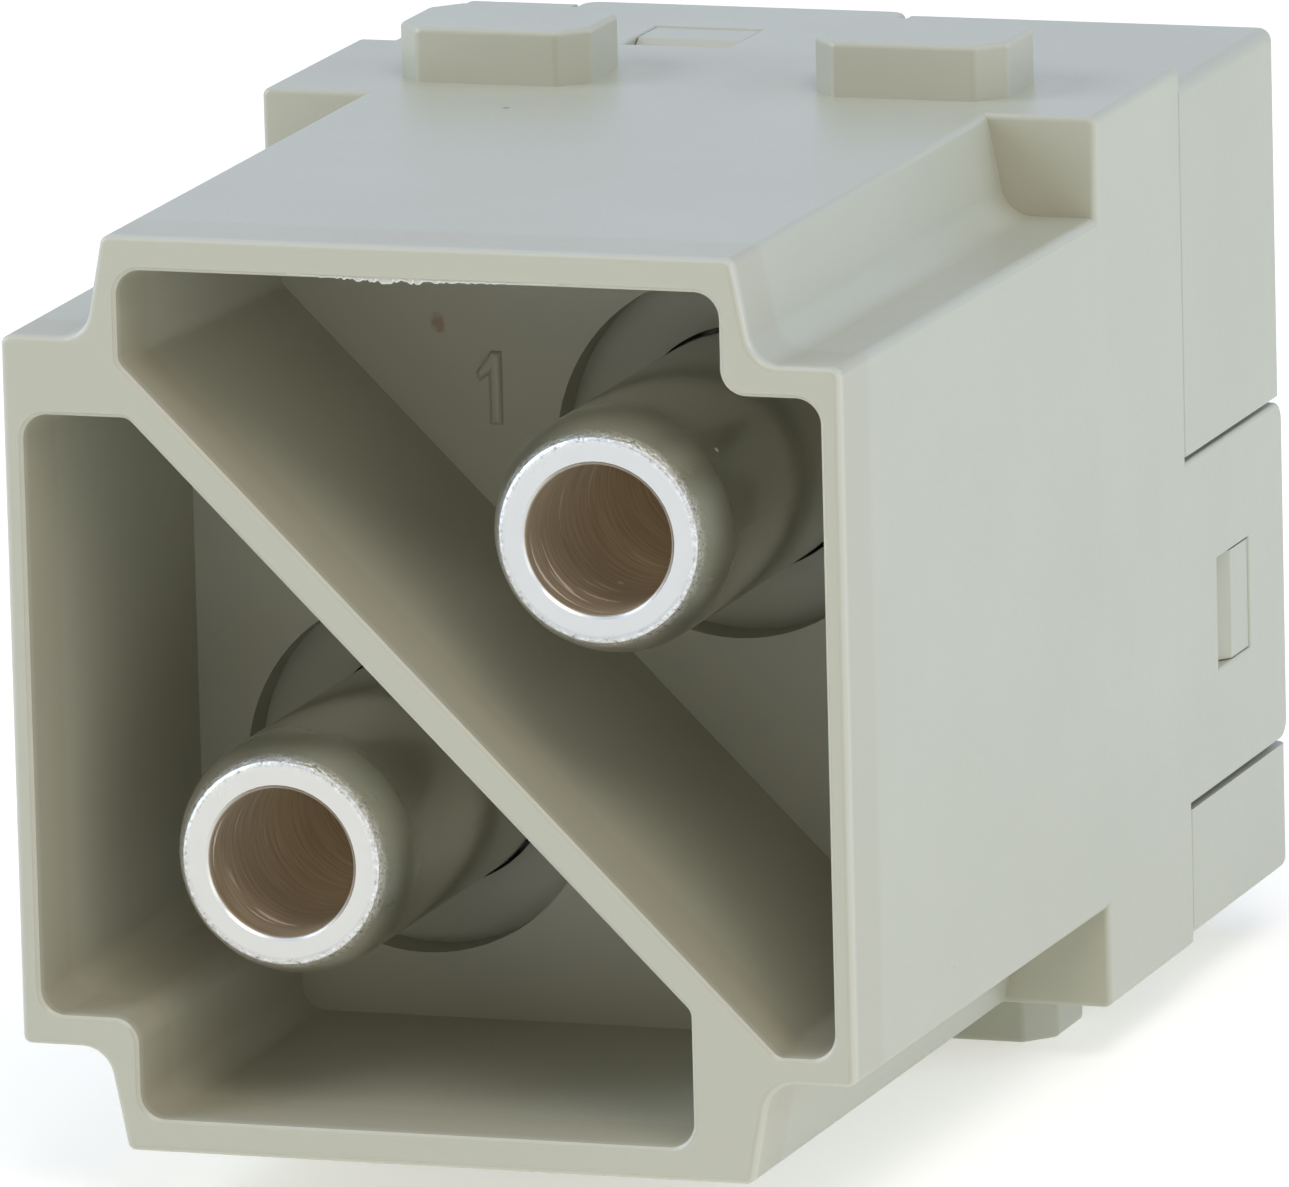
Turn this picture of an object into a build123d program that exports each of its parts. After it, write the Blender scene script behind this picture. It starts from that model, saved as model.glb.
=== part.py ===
"""Double-width connector insert module with two hollow axial pins.

Sizes are in millimetres. X is across the face, Y runs from the mating face back to the cable end, and
Z is up. The part's origin is the middle of the box around it, at the height of its lower guide lugs.
"""
from build123d import *
import math
import os

# Outer moulding, seen from the mating face
body_width = 29.3
body_height = 30.3
ledge_height = 23.5  # over the side faces, between the notches of the corners
raised_width = 21.4  # of the top and bottom faces of the nose, at the mating face
flank_spread = 0.65  # how far each flank leans out between its top edge and the ledge
notch_radius = 1.1
nose_draft = 0.4  # each side face leans in by this from the flange to the mating face
flank_draft = 0.22
edge_radius = 0.28  # of the long edges
corner_share = 0.45  # the most that one corner's radius takes of a short wall
rim_radius = 0.22  # round the mating face
body_end_radius = 0.16
step_edge_radius = 0.2

# Lengths from the mating face backwards
nose_length = 26.4
flange_length = 9.6
cover_length = 11.2
tongue_overrun = 0.1

# Mating chambers
chamber_depth = 15.1
chamber_draft = 0.24  # the walls but the partition are thicker by this at the floor
chamber_corner_radius = 0.85
chamber_mouth_chamfer = 0.12
top_wall = 1.08
side_wall = 0.65
flank_wall = 0.45
ledge_wall = 1.0
partition_wall = 1.1
lower_end_wall = 0.85  # below the upper chamber
upper_end_wall = 2.55  # above the lower chamber
flank_end_wall = 1.95  # right of the lower chamber
partition_end_radius = 0.5

# Guide lugs
lug_pitch = 14.7
lug_height = 1.87
upper_lug_width = 6.8
lower_lug_width = 8.9
lug_length = 4.9
lug_chamfer_across = 0.92
lug_chamfer_along = 1.07
lug_setback = 2.04  # from the flange step
lug_corner_radius = 0.3
lug_edge_radius = 0.2

# Latch tongues and their windows
tongue_width = 11.8
tongue_thickness = 1.5
tongue_corner_radius = 0.7
tongue_edge_radius = 0.15
tongue_root = 1.5  # how far a tongue starts inside the body's end
tongue_shift = 4.35  # off the middle of its face, away from the pin next to it
upright_tongue_inset = 0.52  # of the tongues on the top and bottom faces
tongue_gap = 0.2
tongue_seat_gap = 0.1
window_width = 3.85
window_length = 3.7
window_setback = 3.4  # from the parting line
window_edge_radius = 0.1
ramp_gap = 0.05
ramp_recess = 0.06  # of the ramp's crown below the tongue's face
ramp_toe = 0.35  # height of the ramp's low end
ramp_slope_share = 0.45

# Rear cover
cover_top_inset = 0.58
cover_bottom_inset = 0.25
cover_side_inset = 0.02
cover_corner_radius = 0.45  # of the long edges
cover_edge_radius = 0.4
cover_front_chamfer = 0.08
cable_entry_diameter = 11.6
cable_entry_chamfer = 0.5
plug_length = 3.0
plug_gap = 0.15
core_wall = 1.4
cover_back_wall = 2.0

# Core pockets that keep the moulding's walls even, in the two corners without a pin
pocket_side_wall = 1.65
pocket_ledge_wall = 1.2
pocket_inner_edge = 4.2
pocket_floor = 2.0

# Contacts
pin_offset = 5.58  # from the middle, across and up
pin_diameter = 8.0
pin_setback = 1.25  # from the mating face
pin_tip_flat = 6.74
pin_tip_length = 1.75
pin_tip_lean = 4  # degrees by which the tip's round leans in where it meets the shank
pin_tip_edge = 0.1
pin_neck_diameter = 7.6
pin_neck_lead = 0.4  # how far the neck starts in front of the recess's floor
key_bore_diameter = 4.95
key_bore_chamfer = 0.12
barrel_diameter = 13.0
barrel_flats = 12.0
barrel_flats_length = 4.0
barrel_start = 19.3
barrel_length = 25.2
barrel_edge = 0.4
cable_bore_diameter = 10.5
cable_bore_depth = 12.5
cable_mouth_chamfer = 0.5
recess_diameter = 12.2
recess_depth = 1.5
pin_hole_gap = 0.1
barrel_gap = 0.15

# Cone screws
screw_diameter = 9.0
screw_body_length = 5.6
screw_thread_gap = 0.02
screw_start = 21.4  # turned forward, so that the cable chamber is free
screw_front_gap = 0.4
screw_cone_length = 4.6
screw_cone_tip = 1.2
screw_edge = 0.5
socket_flats = 4.0
socket_depth = 4.0

body_length = nose_length + flange_length
cover_back = body_length + cover_length
part_length = cover_back + tongue_overrun
part_height = body_height + 2 * lug_height
half_width = body_width / 2
half_height = body_height / 2
half_ledge = ledge_height / 2
half_raised = raised_width / 2
cover_half_width = half_width - cover_side_inset
cover_top = half_height - cover_top_inset
cover_bottom = half_height - cover_bottom_inset
barrel_end = barrel_start + barrel_length
barrel_bore_diameter = barrel_diameter + 2 * barrel_gap
middle_axis = Axis((0, 0, part_height / 2), (0, 1, 0))
pin_centres = {1: (pin_offset, pin_offset), 2: (-pin_offset, -pin_offset)}


def across(y):
    """Plane that faces the viewer, y behind the mating face, with its own x and y along X and Z."""
    return Plane(origin=(0, y - part_length / 2, part_height / 2), x_dir=(1, 0, 0), z_dir=(0, -1, 0))


def prism(outline, y, length):
    """Solid of an outline that stands on the plane at y and runs backwards."""
    return extrude(across(y) * outline, amount=-length)


def disc_prism(centre, diameter, y, length):
    return prism(Pos(*centre) * Circle(diameter / 2), y, length)


def opposite(shape):
    """The same shape, half a turn round the part's middle axis."""
    return shape.rotate(middle_axis, 180)


def rounded_face(corners):
    """Face from corners given as (x, z, radius)."""
    outline = FilletPolyline(*[(x, z) for x, z, _ in corners], radius=[r for _, _, r in corners], close=True)
    return make_face(outline)


def fitted(radius, *walls):
    """The radius, or less where a wall beside its corner is short."""
    return min([radius] + [corner_share * wall for wall in walls])


def nose_outline(side, raised):
    """Outline of the nose: a rectangle whose four corners are notched by a leaning flank and a ledge."""
    foot = raised + flank_spread
    corner = [
        (side, half_ledge, edge_radius),
        (foot, half_ledge, fitted(notch_radius, side - foot, half_height - half_ledge)),
        (raised, half_height, edge_radius),
    ]
    upper = corner + [(-x, z, r) for x, z, r in reversed(corner)]
    lower = [(-x, -z, r) for x, z, r in upper]
    return rounded_face(upper + lower)


def nose():
    """Drafted nose, with a straight stub that goes past the rounded front edges of the flange."""
    front = across(0) * nose_outline(half_width - nose_draft, half_raised)
    outline = nose_outline(half_width, half_raised + flank_draft)
    back = across(nose_length) * outline
    solid = loft([front.face(), back.face()], ruled=True)
    rim = solid.faces().sort_by(Axis.Y)[0].edges()
    return fillet(rim, rim_radius) + prism(outline, nose_length, 2 * step_edge_radius)


def flange():
    solid = prism(Rectangle(body_width, body_height), nose_length, flange_length)
    solid = fillet(solid.edges().filter_by(Axis.Y), edge_radius)
    solid = fillet(solid.faces().sort_by(Axis.Y)[-1].edges(), body_end_radius)
    front_edges = solid.faces().sort_by(Axis.Y)[0].edges()
    return fillet(front_edges, step_edge_radius)


def guide_lug(x, width, side):
    """Octagonal lug on the top (side 1) or bottom (side -1) face of the flange."""
    across_half = width / 2
    y0 = nose_length + lug_setback
    y1 = y0 + lug_length
    corners = [
        (-across_half + lug_chamfer_across, y0),
        (across_half - lug_chamfer_across, y0),
        (across_half, y0 + lug_chamfer_along),
        (across_half, y1 - lug_chamfer_along),
        (across_half - lug_chamfer_across, y1),
        (-across_half + lug_chamfer_across, y1),
        (-across_half, y1 - lug_chamfer_along),
        (-across_half, y0 + lug_chamfer_along),
    ]
    base = part_height / 2 + side * (half_height - lug_height)
    plane = Plane(origin=(x, -part_length / 2, base), x_dir=(1, 0, 0), z_dir=(0, 0, 1))
    outline = make_face(Polyline(*corners, close=True))
    solid = extrude(plane * outline, amount=side * 2 * lug_height)
    solid = fillet(solid.edges().filter_by(Axis.Z), lug_corner_radius)
    crown = solid.faces().sort_by(Axis.Z)[-1 if side > 0 else 0].edges()
    return fillet(crown, lug_edge_radius)


def guide_lugs():
    half = lug_pitch / 2
    return [guide_lug(x, width, side)
            for side, width in ((1, upper_lug_width), (-1, lower_lug_width))
            for x in (-half, half)]


def chamber_outlines(draft):
    """Outlines of the upper and the lower mating chamber where the outer walls are thicker by draft."""
    side = half_width - nose_draft - side_wall - draft
    flank = half_raised - flank_wall - draft
    ledge = half_ledge - ledge_wall - draft
    top = half_height - top_wall - draft
    slant = partition_wall / math.sqrt(2)  # the diagonal wall lies where x + z is within this
    low_end = half_ledge - lower_end_wall - draft
    high_end = half_ledge - upper_end_wall - draft
    flank_end = half_raised - flank_end_wall - draft
    r = fitted(chamber_corner_radius, side - flank, top - ledge)
    low_r = fitted(chamber_corner_radius, side - slant - low_end)
    small = partition_end_radius
    upper = [
        (-flank, slant + flank, small),
        (-flank, top, r),
        (flank, top, r),
        (flank, ledge, r),
        (side, ledge, r),
        (side, -low_end, low_r),
        (slant + low_end, -low_end, small),
    ]
    lower = [
        (-side, high_end, r),
        (-slant - high_end, high_end, small),
        (flank_end, -slant - flank_end, small),
        (flank_end, -top, r),
        (-flank, -top, r),
        (-flank, -ledge, r),
        (-side, -ledge, r),
    ]
    return rounded_face(upper), rounded_face(lower)


def chambers():
    """The two blind chambers, narrower at the floor than at the mouth, with a chamfer at each mouth."""
    cutters = []
    ease = chamber_mouth_chamfer
    for mouth, floor in zip(chamber_outlines(0), chamber_outlines(chamber_draft)):
        start = across(0) * mouth
        end = across(chamber_depth) * floor
        cutters.append(loft([start.face(), end.face()], ruled=True))
        wide = across(-ease) * offset(mouth, 2 * ease)
        narrow = across(2 * ease) * offset(mouth, -ease)
        cutters.append(loft([wide.face(), narrow.face()], ruled=True))
    return cutters


def barrel_bore(centre, end):
    """Bore for a barrel from its front up to end, with two flat walls where the barrel's flats lie."""
    flat_width = barrel_flats + 2 * barrel_gap
    keyed = Circle(barrel_bore_diameter / 2) & Rectangle(flat_width, barrel_bore_diameter)
    front = prism(Pos(*centre) * keyed, barrel_start, barrel_flats_length)
    round_start = barrel_start + barrel_flats_length
    return front + disc_prism(centre, barrel_bore_diameter, round_start, end - round_start)


def pin_seat(centre):
    """What the body loses for one contact: recess in the chamber floor, pin hole and barrel bore."""
    recess = disc_prism(centre, recess_diameter, chamber_depth - recess_depth, 2 * recess_depth)
    hole = disc_prism(centre, pin_diameter + 2 * pin_hole_gap, chamber_depth, barrel_start - chamber_depth)
    return [recess, hole, barrel_bore(centre, body_length)]


def pocket_outline(shrink=0.0):
    """Outline of the core pocket in the upper left corner, shrunk all round."""
    left = -half_width + pocket_side_wall + shrink
    right = -pocket_inner_edge - shrink
    low = pocket_inner_edge + shrink
    high = half_ledge - pocket_ledge_wall - shrink
    return Pos((left + right) / 2, (low + high) / 2) * Rectangle(right - left, high - low)


def core_pocket():
    start = chamber_depth + pocket_floor
    return prism(pocket_outline(), start, body_length - start)


def tongue(outer, shift):
    """Latch tongue on a top face, with its outer face at the given height, and its window."""
    start = body_length - tongue_root
    solid = prism(Pos(shift, outer - tongue_thickness / 2) * Rectangle(tongue_width, tongue_thickness),
                  start, cover_back + tongue_overrun - start)
    corners = solid.edges().filter_by(Axis.Z).group_by(Axis.Y)[-1]
    solid = fillet(corners, tongue_corner_radius)
    crown = solid.faces().sort_by(Axis.Z)[-1].edges().sort_by(Axis.Y)[1:]
    solid = fillet(crown, tongue_edge_radius)
    window = Pos(shift, outer) * Rectangle(window_width, 4 * tongue_thickness)
    solid -= prism(window, body_length + window_setback, window_length)
    rim = solid.faces().sort_by(Axis.Z)[-1].inner_wires()[0].edges()
    return fillet(rim, window_edge_radius)


def tongue_seat(outer, shift):
    """Room that a tongue takes in the cover: open outwards, with a gap at its sides and under it."""
    depth = tongue_thickness + tongue_seat_gap
    height = depth + 2 * tongue_thickness
    outline = Pos(shift, outer - depth + height / 2) * Rectangle(tongue_width + 2 * tongue_gap, height)
    return prism(outline, body_length - 1, cover_length + 2)


def ramp(outer, shift):
    """Catch in a tongue's window: it rises towards the back and ends in a steep face."""
    y0 = body_length + window_setback + ramp_gap
    y1 = body_length + window_setback + window_length - ramp_gap
    floor = outer - tongue_thickness - tongue_seat_gap
    crown = outer - ramp_recess
    knee = y0 + ramp_slope_share * (y1 - y0)
    root = floor - ramp_toe
    profile = make_face(Polyline(
        (y0, root), (y0, floor + ramp_toe), (knee, crown), (y1, crown), (y1, root), close=True))
    width = window_width - 2 * ramp_gap
    plane = Plane(origin=(shift - width / 2, -part_length / 2, part_height / 2),
                  x_dir=(0, 1, 0), z_dir=(1, 0, 0))
    return extrude(plane * profile, amount=width)


def on_four_sides(make):
    """What make gives on the top, right, bottom and left face, off the middle and away from the pins."""
    top = make(half_height - upright_tongue_inset, -tongue_shift)
    right = make(half_width, tongue_shift).rotate(middle_axis, 90)
    return [top, right, opposite(top), opposite(right)]


def front_body():
    solid = nose() + flange() + guide_lugs() + on_four_sides(tongue)
    solid -= chambers()
    for centre in pin_centres.values():
        solid -= pin_seat(centre)
    pocket = core_pocket()
    return solid - [pocket, opposite(pocket)]


def cover_block():
    """Outer form of the cover, with rounded edges at the back."""
    middle = (cover_top - cover_bottom) / 2
    outline = Pos(0, middle) * Rectangle(2 * cover_half_width, cover_top + cover_bottom)
    solid = prism(outline, body_length, cover_length)
    solid = fillet(solid.edges().filter_by(Axis.Y), cover_corner_radius)
    solid = fillet(solid.faces().sort_by(Axis.Y)[-1].edges(), cover_edge_radius)
    return chamfer(solid.faces().sort_by(Axis.Y)[0].edges(), cover_front_chamfer)


def locating_plug():
    """Hollow plug that enters the body's core pocket, and the core that is taken out of it."""
    plug = prism(pocket_outline(plug_gap), body_length - plug_length, plug_length + cover_front_chamfer)
    core_length = plug_length + cover_length - cover_back_wall
    core = prism(pocket_outline(plug_gap + core_wall), body_length - plug_length, core_length)
    return plug, core


def cable_entry(centre):
    """Opening behind a barrel, narrower than the barrel, so that the cover holds the contact in."""
    start = barrel_end + barrel_gap
    bore = disc_prism(centre, barrel_bore_diameter, body_length, start - body_length)
    entry = disc_prism(centre, cable_entry_diameter, start, cover_back - start)
    mouth = turned([
        (0, cover_back - cable_entry_chamfer),
        (cable_entry_diameter / 2, cover_back - cable_entry_chamfer),
        (cable_entry_diameter / 2 + cable_entry_chamfer, cover_back),
        (0, cover_back),
    ], centre)
    return [bore, entry, mouth]


def rear_cover():
    plug, core = locating_plug()
    solid = cover_block() - on_four_sides(tongue_seat) + on_four_sides(ramp)
    solid += [plug, opposite(plug)]
    solid -= [core, opposite(core)]
    for centre in pin_centres.values():
        solid -= cable_entry(centre)
    return solid


def turned(outline, centre):
    """Solid of revolution about a contact's axis, from points given as (radius, y)."""
    if not isinstance(outline, Sketch):
        outline = make_face(Polyline(*outline, close=True))
    x, z = centre
    origin = (x, -part_length / 2, z + part_height / 2)
    plane = Plane(origin=origin, x_dir=(1, 0, 0), z_dir=(0, 0, 1))
    return revolve(plane * outline, Axis(origin, (0, 1, 0)))


def pin_contact(centre):
    """Turned contact: hollow pin in front, barrel with a thread bore and a cable chamber behind."""
    tip = pin_setback
    neck_start = chamber_depth + recess_depth - pin_neck_lead
    pin_r = pin_diameter / 2
    neck_r = pin_neck_diameter / 2
    flat_r = pin_tip_flat / 2
    key_r = key_bore_diameter / 2
    barrel_r = barrel_diameter / 2
    cable_r = cable_bore_diameter / 2
    thread_r = screw_diameter / 2
    cable_start = barrel_end - cable_bore_depth
    thread_start = screw_start - screw_front_gap
    lean = math.radians(pin_tip_lean)
    tip_round = TangentArc((pin_r, tip + pin_tip_length), (flat_r, tip + pin_tip_edge / 2),
                           tangent=(-math.sin(lean), -math.cos(lean)))
    rest = Polyline(
        (flat_r, tip + pin_tip_edge / 2),
        (flat_r - pin_tip_edge, tip),
        (key_r + key_bore_chamfer, tip),
        (key_r, tip + key_bore_chamfer),
        (key_r, thread_start),
        (thread_r, thread_start),
        (thread_r, cable_start),
        (cable_r, cable_start),
        (cable_r, barrel_end - cable_mouth_chamfer),
        (cable_r + cable_mouth_chamfer, barrel_end),
        (barrel_r - barrel_edge, barrel_end),
        (barrel_r, barrel_end - barrel_edge),
        (barrel_r, barrel_start + barrel_edge),
        (barrel_r - barrel_edge, barrel_start),
        (neck_r, barrel_start),
        (neck_r, neck_start),
        (pin_r, neck_start),
        (pin_r, tip + pin_tip_length),
    )
    solid = turned(make_face(tip_round + rest), centre)
    beside = Rectangle(barrel_diameter, barrel_diameter)
    for side in (-1, 1):
        x = centre[0] + side * (barrel_flats + barrel_diameter) / 2
        solid -= prism(Pos(x, centre[1]) * beside, barrel_start, barrel_flats_length + barrel_gap)
    return solid


def cone_screw(centre):
    """Screw with a cone that parts the strands of the cable, turned by a key through the hollow pin."""
    r = screw_diameter / 2 - screw_thread_gap
    end = screw_start + screw_body_length
    tip = end + screw_cone_length
    solid = turned([
        (0, screw_start),
        (r - screw_edge, screw_start),
        (r, screw_start + screw_edge),
        (r, end),
        (screw_cone_tip / 2, tip),
        (0, tip),
    ], centre)
    hexagon = RegularPolygon(socket_flats / 2, 6, major_radius=False)
    return solid - prism(Pos(*centre) * hexagon, screw_start, socket_depth)


def write(shape, name):
    solids = shape.solids()
    assert len(solids) == 1, f"{name} has {len(solids)} solids"
    export_step(solids[0], f"parts/{name}.step")


os.makedirs("parts", exist_ok=True)
write(front_body(), "front_body")
write(rear_cover(), "rear_cover")
for number, pin_centre in pin_centres.items():
    write(pin_contact(pin_centre), f"pin_contact_{number}")
    write(cone_screw(pin_centre), f"cone_screw_{number}")
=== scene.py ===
# %% [markdown]
# # A connector insert with two hollow pins
#
# The object is a block of pebble grey plastic, about as large as two stacked matchboxes, that clips
# into a metal frame. Its mating face has two walled chambers, parted by a diagonal wall, and a
# silver-plated hollow pin stands in each. The solids come from the CAD model and stay as they are. This
# script gives them their finishes, adds two small forms that the mould leaves behind, and lights them.

# %% Load the fixed frame
import math
import random

import bmesh
import bpy
from mathutils import Matrix, Vector


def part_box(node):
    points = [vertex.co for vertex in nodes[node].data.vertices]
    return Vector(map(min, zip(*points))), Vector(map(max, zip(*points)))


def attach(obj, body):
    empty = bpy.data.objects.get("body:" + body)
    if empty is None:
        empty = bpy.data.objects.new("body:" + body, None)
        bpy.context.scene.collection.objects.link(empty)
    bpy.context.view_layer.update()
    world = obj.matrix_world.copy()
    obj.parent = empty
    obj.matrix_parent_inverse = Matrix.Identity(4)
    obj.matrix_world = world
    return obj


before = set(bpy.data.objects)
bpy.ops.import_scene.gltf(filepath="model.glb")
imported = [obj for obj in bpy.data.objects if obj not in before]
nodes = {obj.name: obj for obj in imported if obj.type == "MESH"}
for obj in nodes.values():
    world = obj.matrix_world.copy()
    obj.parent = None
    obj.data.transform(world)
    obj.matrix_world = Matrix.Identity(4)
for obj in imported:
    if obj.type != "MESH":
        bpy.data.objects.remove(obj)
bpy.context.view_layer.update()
mm = 0.001
print("nodes:", ", ".join(sorted(nodes)))

# %% [markdown]
# ## One set of coordinates
#
# On the real part everything is measured from the mating face, because that is where it meets its
# partner. So the script has a helper that takes millimetres from the middle of that face: x to the
# right, y into the part and z up. The middle comes from the CAD box, so nothing is typed twice.

# %% Points measured from the mating face
body_low, body_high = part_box("front_body")
face_middle = Vector((0, body_low.y, (body_low.z + body_high.z) / 2))


def at(x, y, z):
    """Point in metres from millimetres off the middle of the mating face."""
    return face_middle + Vector((x, y, z)) * mm


pin_offset = 5.58
pin_centres = {"1": (pin_offset, pin_offset), "2": (-pin_offset, -pin_offset)}
print("middle of the mating face:", [round(v, 5) for v in face_middle])

# %% [markdown]
# ## Camera
#
# The photograph was taken from the right and a little above, from 0.6 metres, with a long lens.
# A camera is placed by its point, then turned by three angles: round the vertical, up or down, and
# round its own line of sight. Shift moves the frame without turning the camera, as a view camera does.

# %% Camera at the photograph's angle
picture_width, picture_height = 1289, 1187
camera_place = at(190.95, -535.46, 122.85)
view_azimuth = math.radians(18.968)
view_elevation = math.radians(11.988)
view_roll = math.radians(-1.452)
focal_pixels = 18063
principal_point = (626.8, 640.5)

camera_data = bpy.data.cameras.new("camera")
camera_data.sensor_width = 36
camera_data.lens = focal_pixels / picture_width * camera_data.sensor_width
camera_data.shift_x = (picture_width / 2 - principal_point[0]) / picture_width
camera_data.shift_y = (principal_point[1] - picture_height / 2) / picture_width
camera_data.clip_end = 20
camera = bpy.data.objects.new("camera", camera_data)
bpy.context.scene.collection.objects.link(camera)
turn = (Matrix.Rotation(view_azimuth, 4, "Z")
        @ Matrix.Rotation(math.pi / 2 - view_elevation, 4, "X")
        @ Matrix.Rotation(view_roll, 4, "Z"))
camera.matrix_world = Matrix.Translation(camera_place) @ turn
bpy.context.scene.camera = camera
bpy.context.scene.view_settings.view_transform = "Standard"
print("lens:", round(camera_data.lens, 1), "mm")

# %% [markdown]
# ## Floor, world and lamps
#
# The part was photographed in a light tent: soft, bluish light from above and from both sides, less and
# warmer light from the camera's side, and a white table that is lit too. The chambers are open only
# towards the camera, so they stay dark. Seven area lamps make the soft light, three of them warm and on
# the camera's side, and a weak world fills the shadows. One strong lamp would be simpler, but it would
# leave hard shadows and one hard highlight on the metal.
#
# The Light Path node tells the rays apart. The camera sees plain white. Mirror rays see a tent that is
# bright behind the part and dim in front of it. Diffuse rays, which carry light from one surface to
# another, see only a weak fill. The table lights the part's lower faces from below, and for the camera it
# glows more the farther away it is, so no grey horizon shows from low down.

# %% Small helpers for nodes


def add(tree, kind, **settings):
    """New node in a tree, with its settings."""
    node = tree.nodes.new(kind)
    for name, value in settings.items():
        setattr(node, name, value)
    return node


def join(tree, source, target):
    """Link from an output to an input."""
    tree.links.new(source, target)


def fill(tree, socket, value):
    """Gives an input its value: a link from another socket, or a plain number or colour."""
    if isinstance(value, bpy.types.NodeSocket):
        join(tree, value, socket)
    else:
        socket.default_value = value


def feed(tree, node, **values):
    """Gives a node's inputs their values by name; an underscore in a name stands for a space."""
    for name, value in values.items():
        fill(tree, node.inputs[name.replace("_", " ")], value)
    return node


def math_node(tree, operation, a, b=0.0):
    """Math node whose two inputs are numbers or sockets."""
    node = add(tree, "ShaderNodeMath", operation=operation)
    fill(tree, node.inputs[0], a)
    fill(tree, node.inputs[1], b)
    return node.outputs[0]


def blend(tree, factor, a, b):
    """Mix of two numbers, each a value or a socket."""
    return feed(tree, add(tree, "ShaderNodeMix"), Factor=factor, A=a, B=b).outputs[0]


def blend_colour(tree, factor, a, b):
    """Mix of two colours, each a value or a socket."""
    node = add(tree, "ShaderNodeMix", data_type="RGBA")
    for number, value in ((0, factor), (6, a), (7, b)):
        fill(tree, node.inputs[number], value)
    return node.outputs[2]


def ramp_mask(tree, value, start, end):
    """Mask that rises from 0 at start to 1 at end."""
    node = add(tree, "ShaderNodeMapRange", interpolation_type="SMOOTHSTEP")
    return feed(tree, node, Value=value, From_Min=start, From_Max=end).outputs["Result"]


def ramp_mm(tree, length, start, end):
    """The same mask for a length, whose start and end are in millimetres."""
    return ramp_mask(tree, length, start * mm, end * mm)


def along_y(tree, vector):
    """Output with the second coordinate of a vector."""
    axes = add(tree, "ShaderNodeSeparateXYZ")
    join(tree, vector, axes.inputs[0])
    return axes.outputs["Y"]


# %% World
world = bpy.data.worlds.new("tent")
bpy.context.scene.world = world
world.use_nodes = True
tree = world.node_tree
tree.nodes.clear()
fill_light = 0.065
mirrored_behind, mirrored_in_front = 1.0, 0.30
mirrored_colour = (0.69, 0.78, 1.0, 1)
dim_end, bright_start = -1.0, 0.4
backwards = along_y(tree, add(tree, "ShaderNodeTexCoord").outputs["Generated"])
behind = ramp_mask(tree, backwards, dim_end, bright_start)
mirrored = blend(tree, behind, mirrored_in_front, mirrored_behind)
path = add(tree, "ShaderNodeLightPath")
shiny = math_node(tree, "MAXIMUM", path.outputs["Is Glossy Ray"], path.outputs["Is Transmission Ray"])
seen = blend(tree, path.outputs["Is Camera Ray"], blend(tree, shiny, fill_light, mirrored), 1.0)
white = (1, 1, 1, 1)
sky = add(tree, "ShaderNodeBackground")
feed(tree, sky, Color=blend_colour(tree, shiny, white, mirrored_colour), Strength=seen)
join(tree, sky.outputs[0], add(tree, "ShaderNodeOutputWorld").inputs["Surface"])
print("world:", world.name)

# %% Floor
floor_size = 6.0
floor_mesh = bpy.data.meshes.new("floor")
bm = bmesh.new()
bmesh.ops.create_grid(bm, x_segments=1, y_segments=1, size=floor_size / 2)
bm.to_mesh(floor_mesh)
bm.free()
floor = bpy.data.objects.new("floor", floor_mesh)
bpy.context.scene.collection.objects.link(floor)

floor_paint = bpy.data.materials.new("white table")
floor_paint.use_nodes = True
tree = floor_paint.node_tree
tree.nodes.clear()
near_glow, far_glow, mirrored_table, table_light = 0.42, 1.0, 0.26, 0.38
near_end, far_start = 0.4, 2.2
table_paint, table_colour = (0.90, 0.86, 0.80, 1), (0.80, 0.91, 1.0, 1)
path = add(tree, "ShaderNodeLightPath")
away = add(tree, "ShaderNodeVectorMath", operation="LENGTH")
join(tree, add(tree, "ShaderNodeTexCoord").outputs["Object"], away.inputs[0])
far = ramp_mask(tree, away.outputs["Value"], near_end, far_start)
lights_part = path.outputs["Is Diffuse Ray"]
seen = math_node(tree, "MULTIPLY", path.outputs["Is Camera Ray"], blend(tree, far, near_glow, far_glow))
for ray, strength in ((path.outputs["Is Glossy Ray"], mirrored_table), (lights_part, table_light)):
    seen = math_node(tree, "MAXIMUM", seen, math_node(tree, "MULTIPLY", ray, strength))
matt = feed(tree, add(tree, "ShaderNodeBsdfDiffuse"), Color=table_paint)
glow = feed(tree, add(tree, "ShaderNodeEmission"), Strength=seen,
            Color=blend_colour(tree, lights_part, white, table_colour))
both = add(tree, "ShaderNodeAddShader")
join(tree, matt.outputs[0], both.inputs[0])
join(tree, glow.outputs[0], both.inputs[1])
join(tree, both.outputs[0], add(tree, "ShaderNodeOutputMaterial").inputs["Surface"])
floor_mesh.materials.append(floor_paint)
print("floor:", floor_size, "m wide,", floor_paint.name)

# %% Lamps, each with its place and side in metres, its power in watts and its colour
blue, cool, warm = (0.575, 0.745, 1.0), (0.70, 0.81, 1.0), (1.0, 0.94, 0.87)
lamps = {
    "top": ((0.0, 0.1, 0.9), 1.0, 2.4, cool),
    "right": ((0.9, 0.3, 0.25), 0.7, 4.35, blue),
    "left": ((-0.8, -0.35, 0.45), 0.7, 7.3, cool),
    "upper_right": ((0.62, 0.0, 0.68), 0.7, 1.15, cool),
    "front": ((-0.15, -1.1, 0.35), 0.6, 0.75, warm),
    "front_right": ((0.8, -0.6, 0.2), 0.6, 1.6, warm),
    "high_front": ((0.35, -0.5, 0.95), 0.6, 3.6, warm),
}
for name, (place, size, power, colour) in lamps.items():
    data = bpy.data.lights.new(name, "AREA")
    data.shape = "SQUARE"
    data.size = size
    data.energy = power
    data.color = colour
    lamp = bpy.data.objects.new(name, data)
    bpy.context.scene.collection.objects.link(lamp)
    lamp.location = place
    lamp.rotation_euler = (face_middle - Vector(place)).to_track_quat("-Z", "Y").to_euler()
print("lamps:", ", ".join(lamps))

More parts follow.
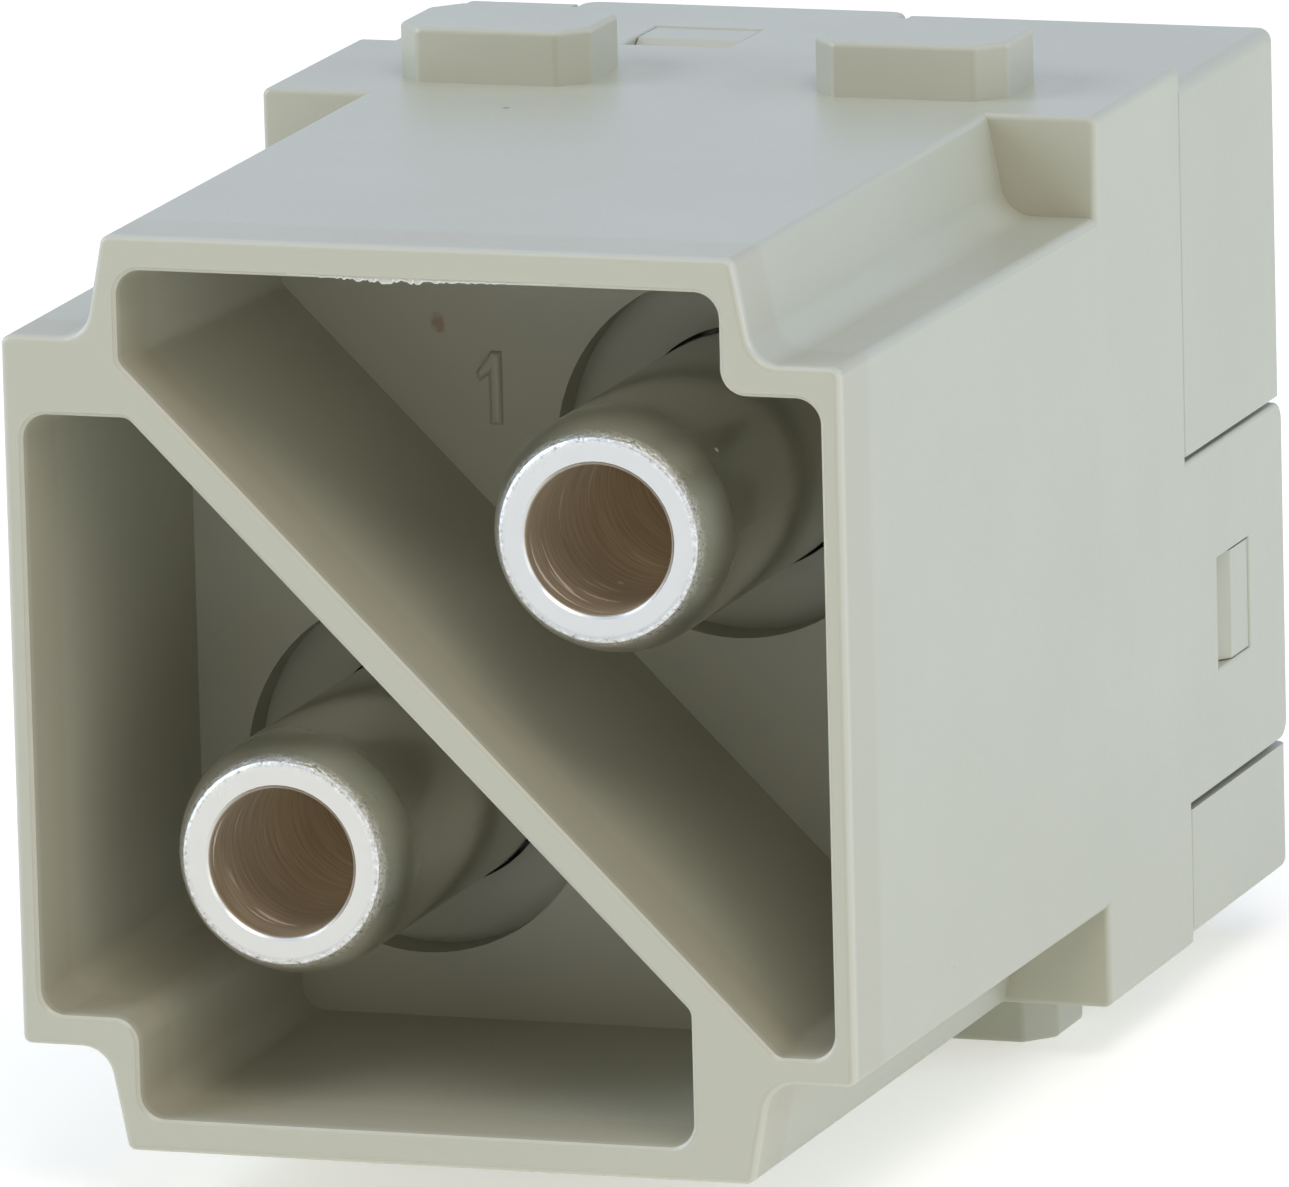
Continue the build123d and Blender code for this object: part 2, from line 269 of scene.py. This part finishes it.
# %% [markdown]
# ## Node groups that several finishes share
#
# A moulded surface is never one flat colour: the melt leaves faint clouds, and the steel of the mould
# leaves a fine grain that breaks up the gloss. A turned surface has rings from the tool. Small marks
# turn up on both. Each effect is built once, as a group with named sockets, and placed in every
# material that needs it with its own values.

# %% Helper that starts a group


def new_group(name, inputs, outputs):
    """Empty shader group from {name: (kind, default)} inputs and {name: kind} outputs."""
    group = bpy.data.node_groups.new(name, "ShaderNodeTree")
    for label, (kind, default) in inputs.items():
        socket = group.interface.new_socket(label, in_out="INPUT", socket_type="NodeSocket" + kind)
        if default is not None:
            socket.default_value = default
    for label, kind in outputs.items():
        group.interface.new_socket(label, in_out="OUTPUT", socket_type="NodeSocket" + kind)
    return group, add(group, "NodeGroupInput").outputs, add(group, "NodeGroupOutput").inputs


def place_group(tree, group, **values):
    """Puts a group into a material's tree and feeds its inputs."""
    node = add(tree, "ShaderNodeGroup", node_tree=group)
    return feed(tree, node, **values).outputs


def stretch(tree, vector, scale):
    """Vector scaled along each axis."""
    node = add(tree, "ShaderNodeVectorMath", operation="MULTIPLY")
    join(tree, vector, node.inputs[0])
    node.inputs[1].default_value = scale
    return node.outputs[0]


# %% Moulded grain
moulded_grain, put, out = new_group(
    "moulded grain",
    {"Vector": ("Vector", None), "Colour": ("Color", (0.5, 0.5, 0.45, 1)),
     "Cloud Colour": ("Color", (0.45, 0.45, 0.4, 1)), "Cloud Size": ("Float", 0.006),
     "Cloud Amount": ("Float", 0.3), "Grain Size": ("Float", 0.0002),
     "Roughness": ("Float", 0.4), "Roughness Spread": ("Float", 0.1)},
    {"Colour": "Color", "Roughness": "Float", "Height": "Float"})
cloud_scale = math_node(moulded_grain, "DIVIDE", 1.0, put["Cloud Size"])
cloud = feed(moulded_grain, add(moulded_grain, "ShaderNodeTexNoise"),
             Vector=put["Vector"], Scale=cloud_scale, Detail=3.0, Roughness=0.5)
grain_scale = math_node(moulded_grain, "DIVIDE", 1.0, put["Grain Size"])
grain = feed(moulded_grain, add(moulded_grain, "ShaderNodeTexNoise"),
             Vector=put["Vector"], Scale=grain_scale, Detail=2.0, Roughness=0.6)
amount = math_node(moulded_grain, "MULTIPLY", cloud.outputs[0], put["Cloud Amount"])
join(moulded_grain, blend_colour(moulded_grain, amount, put["Colour"], put["Cloud Colour"]), out["Colour"])
both = math_node(moulded_grain, "ADD", cloud.outputs[0], grain.outputs[0])
swing = math_node(moulded_grain, "MULTIPLY", math_node(moulded_grain, "SUBTRACT", both, 1.0),
                  put["Roughness Spread"])
join(moulded_grain, math_node(moulded_grain, "ADD", put["Roughness"], swing), out["Roughness"])
join(moulded_grain, grain.outputs[0], out["Height"])

# %% Small mark at a point
mark_grains, mark_wobble, mark_core = 1.3, 4.0, 0.4
small_mark, put, out = new_group(
    "small mark",
    {"Vector": ("Vector", None), "Place": ("Vector", (0, 0, 0)), "Radius": ("Float", 0.0003),
     "Ragged": ("Float", 0.3)},
    {"Mask": "Float"})
apart = add(small_mark, "ShaderNodeVectorMath", operation="DISTANCE")
join(small_mark, put["Vector"], apart.inputs[0])
join(small_mark, put["Place"], apart.inputs[1])
rough_scale = math_node(small_mark, "DIVIDE", mark_grains, put["Radius"])
rough = feed(small_mark, add(small_mark, "ShaderNodeTexNoise"), Vector=put["Vector"], Scale=rough_scale)
wobble = math_node(small_mark, "MULTIPLY", math_node(small_mark, "SUBTRACT", rough.outputs[0], 0.5),
                   math_node(small_mark, "MULTIPLY", put["Radius"], put["Ragged"]))
edge = math_node(small_mark, "ADD", apart.outputs["Value"],
                 math_node(small_mark, "MULTIPLY", wobble, mark_wobble))
inside = add(small_mark, "ShaderNodeMapRange", interpolation_type="SMOOTHSTEP")
feed(small_mark, inside, Value=edge, From_Min=put["Radius"],
     From_Max=math_node(small_mark, "MULTIPLY", put["Radius"], mark_core))
join(small_mark, inside.outputs["Result"], out["Mask"])

# %% Rings that a turning tool leaves
scratch_start, scratch_full = 0.68, 0.74
turning_rings, put, out = new_group(
    "turning rings",
    {"Vector": ("Vector", None), "Pitch": ("Float", 0.0002), "Start": ("Float", 0.0),
     "Scratches": ("Float", 0.3)},
    {"Radius": "Float", "Height": "Float", "Scratch": "Float"})
axes = add(turning_rings, "ShaderNodeSeparateXYZ")
join(turning_rings, put["Vector"], axes.inputs[0])
flat = add(turning_rings, "ShaderNodeVectorMath", operation="LENGTH")
join(turning_rings, stretch(turning_rings, put["Vector"], (1, 0, 1)), flat.inputs[0])
join(turning_rings, flat.outputs["Value"], out["Radius"])
around = math_node(turning_rings, "ARCTAN2", axes.outputs["Z"], axes.outputs["X"])
slope = math_node(turning_rings, "ADD", axes.outputs["Y"], flat.outputs["Value"])
turns = math_node(turning_rings, "DIVIDE", slope, put["Pitch"])
along = math_node(turning_rings, "ADD", turns, put["Start"])
wrap = add(turning_rings, "ShaderNodeCombineXYZ")
feed(turning_rings, wrap, X=math_node(turning_rings, "COSINE", around),
     Y=along, Z=math_node(turning_rings, "SINE", around))
rings = feed(turning_rings, add(turning_rings, "ShaderNodeTexNoise"), Vector=wrap.outputs[0],
             Scale=1.0, Detail=2.0, Roughness=0.6)
join(turning_rings, rings.outputs[0], out["Height"])
sparse = feed(turning_rings, add(turning_rings, "ShaderNodeTexNoise"),
              Vector=stretch(turning_rings, wrap.outputs[0], (0.9, 0.5, 0.9)), Scale=1.0, Detail=1.0)
line = add(turning_rings, "ShaderNodeMapRange")
feed(turning_rings, line, Value=sparse.outputs[0], From_Min=scratch_start, From_Max=scratch_full,
     To_Max=put["Scratches"])
join(turning_rings, line.outputs["Result"], out["Scratch"])
print("groups:", ", ".join(group.name for group in bpy.data.node_groups))

# %% [markdown]
# ## Pebble grey plastic
#
# Housings like this are moulded from a filled, dull-glossy plastic. It is pale and slightly green, and
# at a flat angle it mirrors the white tent, which is why the top and the side look cooler than the
# front. The Principled shader does that by itself, given a fairly smooth surface.
#
# The nose's front edges are painted paler, a painted highlight along them, and its first three
# millimetres are painted a little darker and yellower, a painted shade. A brown stain and three dark
# flecks sit where the photograph shows them. Painting an image would do this as well, but masks made
# from distances stay sharp at any size and need no file.

# %% Helper that starts a material


def new_material(name):
    """Material with an empty Principled surface; returns the material, its tree, shader and vector."""
    material = bpy.data.materials.new(name)
    material.use_nodes = True
    tree = material.node_tree
    tree.nodes.clear()
    shader = add(tree, "ShaderNodeBsdfPrincipled")
    join(tree, shader.outputs[0], add(tree, "ShaderNodeOutputMaterial").inputs["Surface"])
    vector = add(tree, "ShaderNodeTexCoord").outputs["Object"]
    return material, tree, shader, vector


def finish_node(name, material):
    """A CAD node's own mesh gets one material."""
    mesh = nodes[name].data
    mesh.materials.clear()
    mesh.materials.append(material)
    print(name, "has", material.name)


def bump(tree, height, depth):
    """Normal that a height of 0 to 1 gives when it stands for the depth."""
    node = add(tree, "ShaderNodeBump")
    return feed(tree, node, Height=height, Distance=depth, Strength=1.0).outputs[0]


# %% Painted highlight and painted shade on the nose
# Depths in millimetres of the painted shade over the nose's first stretch and of the painted highlight at
# its front edges.
painted_band_depth, painted_band_fade = 3.3, 0.7
painted_edge_depth, painted_edge_fade = 0.6, 0.35
behind_start, behind_full = 0.01, 0.05
painted_band_shade, painted_edge_highlight = (0.478, 0.453, 0.34, 1), (0.56, 0.54, 0.425, 1)


def paint_nose_light_and_shade(tree, vector, shade):
    """Front edges painted paler as a painted highlight, and the nose's first stretch painted darker and
    yellower as painted shade.
    """
    depth = math_node(tree, "SUBTRACT", along_y(tree, vector), face_middle.y)
    behind_face = ramp_mm(tree, depth, behind_start, behind_full)
    for reach, fade, colour in ((painted_band_depth, painted_band_fade, painted_band_shade),
                                (painted_edge_depth, painted_edge_fade, painted_edge_highlight)):
        painted_nose = math_node(tree, "MULTIPLY", behind_face, ramp_mm(tree, depth, reach, reach - fade))
        shade = blend_colour(tree, painted_nose, shade, colour)
    return shade


# %% Plastic material
plastic_ior, plastic_roughness, roughness_spread, cloud_amount = 1.56, 0.36, 0.12, 0.5
cloud_size, grain_size, grain_depth = 7 * mm, 0.22 * mm, 0.0012 * mm


def plastic(name, colour, cloud_colour, marks=(), painted_nose=False):
    """Moulded plastic with clouds, grain, small marks given as (point, radius, colour), and on request the
    nose's painted highlight and shade.
    """
    material, tree, shader, vector = new_material(name)
    surface = place_group(tree, moulded_grain, Vector=vector, Colour=colour, Cloud_Colour=cloud_colour,
                          Cloud_Size=cloud_size, Cloud_Amount=cloud_amount, Grain_Size=grain_size,
                          Roughness=plastic_roughness, Roughness_Spread=roughness_spread)
    shade = surface["Colour"]
    for place, radius, mark_colour in marks:
        mark = place_group(tree, small_mark, Vector=vector, Place=place, Radius=radius)
        shade = blend_colour(tree, mark["Mask"], shade, mark_colour)
    # Painted highlight on the nose's front edges and painted shade behind them.
    if painted_nose:
        shade = paint_nose_light_and_shade(tree, vector, shade)
    feed(tree, shader, Base_Color=shade, Roughness=surface["Roughness"], IOR=plastic_ior,
         Normal=bump(tree, surface["Height"], grain_depth))
    return material


# %% Housing and cover
brown_stain = (0.40, 0.29, 0.21, 1)
dark_fleck = (0.16, 0.16, 0.15, 1)
housing_marks = [
    (at(-4.56, 15.1, 9.66), 0.38 * mm, brown_stain),
    (at(14.5, 10.17, -10.07), 0.12 * mm, dark_fleck),
    (at(-5.26, 24.4, 15.15), 0.16 * mm, dark_fleck),
]
cover_marks = [(at(-1.24, 42.55, 14.6), 0.15 * mm, dark_fleck)]
housing_plastic = plastic("housing plastic", (0.510, 0.497, 0.385, 1), (0.475, 0.463, 0.357, 1),
                          housing_marks, painted_nose=True)
cover_plastic = plastic("cover plastic", (0.505, 0.493, 0.382, 1), (0.47, 0.458, 0.353, 1), cover_marks)
finish_node("front_body", housing_plastic)
finish_node("rear_cover", cover_plastic)

# %% [markdown]
# ## Silver-plated contacts
#
# Each contact is turned from a copper alloy and plated with silver. Outside it is a soft, slightly
# yellow grey metal. The bore sees little plating and much of itself, so it looks brown, with rings from
# the drill and a few bright scratches. The flat end is the most handled place: it is bright, and its
# outer edge is nicked, with near-white painted glints among the nicks. At the neck the pin goes through
# the housing in a narrow gap, and there the plating is painted nearly black, a painted shade for the gap;
# the cable chamber behind is dull from the cable's strands. All of that depends on the depth and on the
# distance from the contact's own axis, so the pattern is centred on the axis by a Mapping node, and each
# contact starts its rings at another place.
#
# A real bright tube hands light on from wall to wall many times. The renderer stops after a few bounces,
# so a bore shaded as metal would come out black. Three stand-ins make up for the lost bounces: the bore is
# a dull brown surface instead of a metal, its colour is painted lighter the deeper it lies, and it has a
# very faint glow in its own brown.

# %% Sizes on a contact, in millimetres from its axis and from the mating face
bore_radius, flat_radius = 2.475, 3.37
tip_depth = 1.25
neck_start, neck_end = 16.0, 19.3
chamber_start = 25.0
# Depths over which the bore is painted lighter and starts to glow, as painted light for the lost bounces.
bore_painted_light_start, bore_painted_light_end, gleam_end = 1.0, 9.0, 7.0
ring_pitch, nick_size, tarnish_size = 0.16, 0.17, 2.5
relief_depth = 0.006

# %% Gloss of a contact, and the noise levels at which its marks begin and are full
bright_gloss, dull_gloss, bare_roughness = 0.13, 0.20, 0.55
tarnish_start, tarnish_full = 0.3, 0.7
tip_extra, rim_extra = 0.14, 0.12
fleck_start, fleck_full = 0.42, 0.34
glint_start, glint_full = 0.52, 0.60
ring_start, ring_full = 0.18, 0.82
scratch_amount, outside_rings, nick_strength, chamber_dulling = 0.8, 0.06, 7.0, 0.5

# %% Colours on a contact
plating_dark, plating_light = (0.70, 0.68, 0.60, 1), (0.80, 0.78, 0.72, 1)
# Colours of the rim's dark nicks and of its near-white painted glints.
nick_dark, nick_painted_glint = (0.30, 0.29, 0.25, 1), (0.97, 0.97, 0.95, 1)
drilled_dark, drilled_light = (0.24, 0.185, 0.12, 1), (0.40, 0.31, 0.21, 1)
# Ring colours deep in the bore, painted lighter as painted light for the lost bounces.
painted_deep_bore_dark, painted_deep_bore_pale = (0.53, 0.44, 0.31, 1), (0.80, 0.69, 0.52, 1)
gleam_dark, gleam_light = (0.020, 0.017, 0.011, 1), (0.034, 0.028, 0.019, 1)
# Nearly black painted shade for the gap at the neck, bright scratches in the bore, and white dust.
painted_gap_shade, scratch_bright, dust_white = (0.05, 0.05, 0.04, 1), (0.90, 0.85, 0.78, 1), (0.85, 0.83, 0.76, 1)
black = (0, 0, 0, 1)

# %% Where each finish of a contact lies


def contact_masks(tree, depth, radius):
    """Masks by name, from the distances behind the mating face and from the axis."""
    # The neck mask places the painted shade in the gap where the pin goes through the housing.
    neck = math_node(tree, "MULTIPLY", ramp_mm(tree, depth, neck_start, neck_start + 0.2),
                     ramp_mm(tree, depth, neck_end + 0.5, neck_end))
    rim = math_node(tree, "MULTIPLY", ramp_mm(tree, radius, flat_radius - 0.25, flat_radius - 0.02),
                    ramp_mm(tree, depth, tip_depth + 0.55, tip_depth + 0.1))
    return {
        "bore": ramp_mm(tree, radius, bore_radius + 0.06, bore_radius + 0.02),
        "flat end": ramp_mm(tree, depth, tip_depth + 0.09, tip_depth + 0.03),
        "tip": ramp_mm(tree, depth, tip_depth + 4.0, tip_depth + 1.5),
        "chamber": ramp_mm(tree, depth, chamber_start - 1, chamber_start + 1),
        "neck": neck,
        "rim": rim,
    }


# %% Colours of the plated outside and of the bore


def plating_colour(tree, masks, tarnish, nicks, flat_colour):
    """Plating with its bright flat end, the nicked rim with painted glints, and the neck in painted shade.
    """
    fleck = math_node(tree, "MULTIPLY", masks["rim"], ramp_mask(tree, nicks, fleck_start, fleck_full))
    # Near-white painted glints among the rim's nicks.
    glint = math_node(tree, "MULTIPLY", masks["rim"], ramp_mask(tree, nicks, glint_start, glint_full))
    shade = blend_colour(tree, tarnish, plating_dark, plating_light)
    for mask, colour in ((masks["flat end"], flat_colour), (fleck, nick_dark), (glint, nick_painted_glint),
                         (masks["neck"], painted_gap_shade)):
        shade = blend_colour(tree, mask, shade, colour)
    return shade


def bore_colour(tree, depth, rings, scratch):
    """Drilled brown metal with rings and scratches, painted lighter the deeper it lies as painted light
    for the lost bounces.
    """
    drilled = blend_colour(tree, rings, drilled_dark, drilled_light)
    painted_deep_bore = blend_colour(tree, rings, painted_deep_bore_dark, painted_deep_bore_pale)
    # Painted light: lighter from the mouth towards the deep bore.
    shade = blend_colour(tree, ramp_mm(tree, depth, bore_painted_light_start, bore_painted_light_end), drilled, painted_deep_bore)
    return blend_colour(tree, scratch, shade, scratch_bright)


def bore_gleam(tree, bore, depth, rings):
    """Faint glow in place of the bounces that the renderer leaves out."""
    amount = math_node(tree, "MULTIPLY", bore, ramp_mm(tree, depth, bore_painted_light_start, gleam_end))
    return blend_colour(tree, amount, black, blend_colour(tree, rings, gleam_dark, gleam_light))


# %% Gloss and relief of a contact


def contact_roughness(tree, masks, tarnish):
    """Smooth plating, duller at the tip and the rim, and dull in the bore and the cable chamber."""
    shine = feed(tree, add(tree, "ShaderNodeMapRange"), Value=tarnish, From_Min=tarnish_start,
                 From_Max=tarnish_full, To_Min=bright_gloss, To_Max=dull_gloss).outputs["Result"]
    for name, extra in (("tip", tip_extra), ("rim", rim_extra)):
        shine = math_node(tree, "ADD", shine, math_node(tree, "MULTIPLY", masks[name], extra))
    return blend(tree, math_node(tree, "MAXIMUM", masks["bore"], masks["chamber"]), shine, bare_roughness)


def contact_relief(tree, masks, rings, nicks):
    """Normal with rings, deep in the bore and faint outside it, and nicks along the rim."""
    ring_height = math_node(tree, "MULTIPLY", rings, blend(tree, masks["bore"], outside_rings, 1.0))
    nick_height = math_node(tree, "MULTIPLY", nicks,
                            math_node(tree, "MULTIPLY", masks["rim"], nick_strength))
    return bump(tree, math_node(tree, "ADD", ring_height, nick_height), relief_depth * mm)


# %% Contact material


def noise(tree, vector, size, **settings):
    """Noise whose grains have about the size given in millimetres."""
    return feed(tree, add(tree, "ShaderNodeTexNoise"), Vector=vector, Scale=1 / (size * mm),
                **settings).outputs[0]


def contact_metal(name, centre, start, flat_colour, dust):
    """Plated metal round the centre (x, z) in millimetres, with its own rings, end colour and dust."""
    material, tree, shader, vector = new_material(name)
    middle = at(centre[0], 0, centre[1])
    vector = feed(tree, add(tree, "ShaderNodeMapping"), Vector=vector, Location=-middle).outputs[0]
    turned = place_group(tree, turning_rings, Vector=vector, Pitch=ring_pitch * mm, Start=start,
                         Scratches=scratch_amount)
    depth = along_y(tree, vector)
    tarnish = noise(tree, vector, tarnish_size, Detail=4.0)
    nicks = noise(tree, vector, nick_size, Detail=3.0, Roughness=0.75)
    rings = ramp_mask(tree, turned["Height"], ring_start, ring_full)
    masks = contact_masks(tree, depth, turned["Radius"])

    colour = blend_colour(tree, masks["bore"], plating_colour(tree, masks, tarnish, nicks, flat_colour),
                          bore_colour(tree, depth, rings, turned["Scratch"]))
    matt = math_node(tree, "MAXIMUM", masks["bore"],
                     math_node(tree, "MULTIPLY", masks["chamber"], chamber_dulling))
    for place, radius in dust:
        speck = place_group(tree, small_mark, Vector=vector, Place=at(*place) - middle, Radius=radius)
        colour = blend_colour(tree, speck["Mask"], colour, dust_white)
        matt = math_node(tree, "MAXIMUM", matt, speck["Mask"])
    feed(tree, shader, Base_Color=colour, Roughness=contact_roughness(tree, masks, tarnish),
         Metallic=math_node(tree, "SUBTRACT", 1.0, matt), Emission_Strength=1.0,
         Emission_Color=bore_gleam(tree, masks["bore"], depth, rings),
         Normal=contact_relief(tree, masks, turned["Height"], nicks))
    return material


# %% Both contacts
contact_looks = {
    "1": (0, (0.74, 0.745, 0.72, 1), [((8.69, 4.2, 8.10), 0.13 * mm), ((4.77, 5.7, 3.24), 0.14 * mm)]),
    "2": (37, (0.75, 0.74, 0.68, 1), []),
}
for number, (start, flat_colour, dust) in contact_looks.items():
    metal = contact_metal("silver plating " + number, pin_centres[number], start, flat_colour, dust)
    finish_node("pin_contact_" + number, metal)

# %% [markdown]
# ## Cone screws
#
# The screws are plain steel, blackened a little by oil. Only a key and a torch would find them, so one
# simple metal with a trace of grain is enough.

# %% Screw material
screw_steel, tree, shader, vector = new_material("screw steel")
surface = place_group(tree, moulded_grain, Vector=vector, Colour=(0.42, 0.42, 0.41, 1),
                      Cloud_Colour=(0.3, 0.3, 0.29, 1), Cloud_Size=2 * mm, Cloud_Amount=0.6,
                      Grain_Size=0.1 * mm, Roughness=0.4, Roughness_Spread=0.15)
feed(tree, shader, Base_Color=surface["Colour"], Roughness=surface["Roughness"], Metallic=1.0)
for number in pin_centres:
    finish_node("cone_screw_" + number, screw_steel)

# %% [markdown]
# ## The raised numeral
#
# The floor of the upper chamber has a plain numeral, cut into the mould, so it stands up from the
# floor by a fifth of a millimetre. It is drawn as one outline, extruded by its height, and its upper
# edges are bevelled, as the mould's cutter leaves them.

# %% Helper that stores a finished piece


def make_piece(name, bm, material):
    """Object at the origin from a bmesh; it rides on the part and takes its finish from a slot."""
    mesh = bpy.data.meshes.new(name)
    bm.to_mesh(mesh)
    bm.free()
    mesh.materials.append(material)
    piece = bpy.data.objects.new(name, mesh)
    bpy.context.scene.collection.objects.link(piece)
    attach(piece, "root")
    print(name, len(mesh.polygons), "faces")


# %% Numeral on the chamber's floor
floor_depth = 15.1
numeral_height, numeral_sunk, numeral_bevel = 0.2, 0.1, 0.16
stem_left, stem_right = -2.82, -2.38
foot, crown, crown_cut = 6.33, 8.78, 0.08
flag_width, flag_top, flag_foot = 0.45, 8.05, 7.75
flag_slant, flag_rise = 0.1, 0.25
outline = [(stem_left, foot), (stem_right, foot), (stem_right, crown), (stem_left + crown_cut, crown),
           (stem_left - flag_width, flag_top), (stem_left - flag_width + flag_slant, flag_foot),
           (stem_left, flag_foot + flag_rise)]
bm = bmesh.new()
corners = [bm.verts.new(at(x, floor_depth + numeral_sunk, z)) for x, z in outline]
sheet = bm.faces.new(corners)
raised = bmesh.ops.extrude_face_region(bm, geom=[sheet])["geom"]
lifted = [v for v in raised if isinstance(v, bmesh.types.BMVert)]
bmesh.ops.translate(bm, verts=lifted, vec=(0, -(numeral_height + numeral_sunk) * mm, 0))
rim = [e for e in bm.edges if e.verts[0] in lifted and e.verts[1] in lifted]
bmesh.ops.bevel(bm, geom=rim, offset=numeral_bevel * mm, segments=4, profile=0.5, affect="EDGES",
                material=-1)
bmesh.ops.recalc_face_normals(bm, faces=bm.faces)
make_piece("numeral_one", bm, housing_plastic)

# %% [markdown]
# ## Flash along the mouth
#
# Where the two halves of the mould don't quite close, a thin ragged fin of plastic is left. On this
# part it runs along the upper edge of the chamber's mouth, widest left of the middle. A strip of quads
# follows the edge, every point of its free side is moved by a small random amount, and the strip gets a
# real thickness. Such thin plastic is bent and torn, which turns it white, so it has a paler finish.

# %% Flash piece
flash_start, flash_end = -4.4, 4.9
flash_steps = 125
flash_root, flash_hidden, flash_reach, flash_teeth = 14.24, 0.05, 0.12, 0.11
flash_front, flash_back, flash_thickness = 0.022, 0.12, 0.04
flash_peak, flash_spread, flash_even, flash_bulge = 0.38, 0.17, 0.45, 0.55
tooth_low, tooth_high = -0.4, 1.0
random.seed(7)
bm = bmesh.new()
width = flash_end - flash_start
bmesh.ops.create_grid(bm, x_segments=flash_steps, y_segments=1, size=0.5)
for vert in bm.verts:
    share = vert.co.x + 0.5
    free = vert.co.y > 0
    swell = (flash_even * max(0, math.sin(math.pi * share)) ** 0.5
             + flash_bulge * math.exp(-((share - flash_peak) / flash_spread) ** 2))
    tooth = random.uniform(tooth_low, tooth_high) * flash_teeth
    reach = flash_hidden + (flash_reach + tooth) * swell if free else 0
    vert.co = at(flash_start + share * width, flash_front if free else flash_back, flash_root - reach)
bmesh.ops.solidify(bm, geom=bm.faces[:], thickness=flash_thickness * mm)
bmesh.ops.recalc_face_normals(bm, faces=bm.faces)
whitened = plastic("whitened plastic", (0.62, 0.61, 0.53, 1), (0.57, 0.56, 0.48, 1))
make_piece("mouth_flash", bm, whitened)
